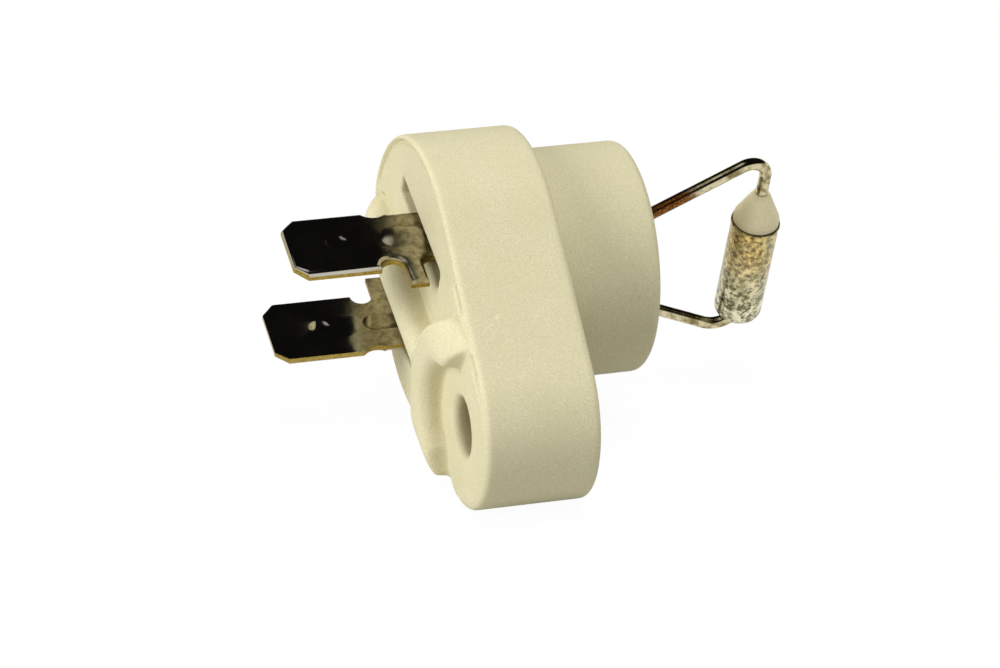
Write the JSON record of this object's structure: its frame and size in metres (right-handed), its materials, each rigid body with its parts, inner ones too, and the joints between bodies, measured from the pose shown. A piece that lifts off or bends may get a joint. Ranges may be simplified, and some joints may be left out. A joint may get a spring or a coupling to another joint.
{
  "type": "thermal fuse",
  "caption": "Thermal cut-off cartridge carried by its own stiff leads on a pear-shaped ceramic holder with a round boss, a screw hole and push-on blade tabs.",
  "frame": {"origin": "boss axis at the flange's seating face", "axes": "+X along the boss axis from the tabs towards the cartridge; -Z out of the flat flank that the part lies on; +Y away from the screw hole"},
  "size_m": [0.0415, 0.033, 0.0246],
  "materials": {
    "holder_ceramic": "matt, fine-grained, unglazed cream",
    "tab_brass": "bright nickel plating with yellow cut edges",
    "lead_wire": "tinned wire, tarnished brown near the boss",
    "case_metal": "silvered, lightly tarnished",
    "seal_resin": "matt beige resin",
    "bushing_ceramic": "plain white",
    "spring_steel": "drawn wire",
    "contact_metal": "silvered contact sheet",
    "disc_steel": "plain stamped sheet",
    "pellet": "pressed organic pellet"
  },
  "bodies": {
    "root": {"ceramic_holder": "holder_ceramic", "upper_tab": "tab_brass", "lower_tab": "tab_brass", "isolated_lead": "lead_wire", "case_lead": "lead_wire", "cartridge_case": "case_metal", "seal": "seal_resin", "bushing": "bushing_ceramic", "trip_spring": "spring_steel", "star_contact": "contact_metal", "upper_disc": "disc_steel", "barrel_spring": "spring_steel", "lower_disc": "disc_steel", "thermal_pellet": "pellet"}
  },
  "joints": []
}
